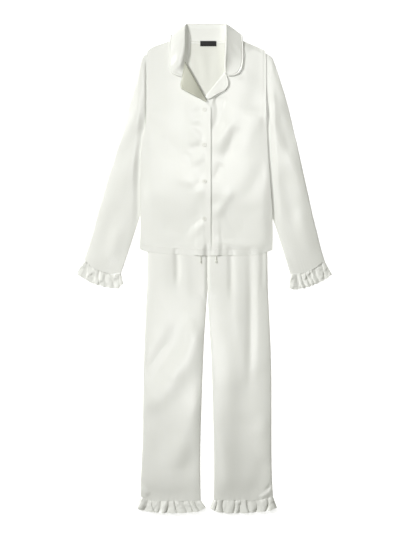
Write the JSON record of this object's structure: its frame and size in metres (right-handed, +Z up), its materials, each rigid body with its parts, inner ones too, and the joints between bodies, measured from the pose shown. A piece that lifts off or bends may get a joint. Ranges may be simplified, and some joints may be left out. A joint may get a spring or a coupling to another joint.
{
  "type": "pyjama set",
  "caption": "Satin pyjama set laid out flat: a notched-collar button shirt with frilled cuffs lies over frilled straight trousers with a drawstring.",
  "frame": {"origin": "under the middle of the laid-out set, on the surface it lies on", "axes": "+Z up out of the surface, face of the garments up; +Y to the neck; +X to the wearer's left"},
  "size_m": [0.73, 1.395, 0.0179],
  "materials": {
    "satin": "satin weave, pale off-white",
    "button": "pearl",
    "label": "black woven tape",
    "drawstring": "satin cord"
  },
  "bodies": {
    "root": {"shirt_back": "satin", "shirt_front_right": "satin", "shirt_front_left": "satin", "sleeve_right": "satin", "sleeve_left": "satin", "cuff_ruffle_right": "satin", "cuff_ruffle_left": "satin", "collar": "satin", "lapel_right": "satin", "lapel_left": "satin", "neck_label": "label", "button_1": "button", "button_2": "button", "button_3": "button", "button_4": "button", "trouser_front_right": "satin", "trouser_front_left": "satin", "trouser_back_right": "satin", "trouser_back_left": "satin", "waistband": "satin", "hem_ruffle_right": "satin", "hem_ruffle_left": "satin", "drawstring_right": "drawstring", "drawstring_left": "drawstring", "drawstring_knot_right": "drawstring", "drawstring_knot_left": "drawstring"}
  },
  "joints": []
}
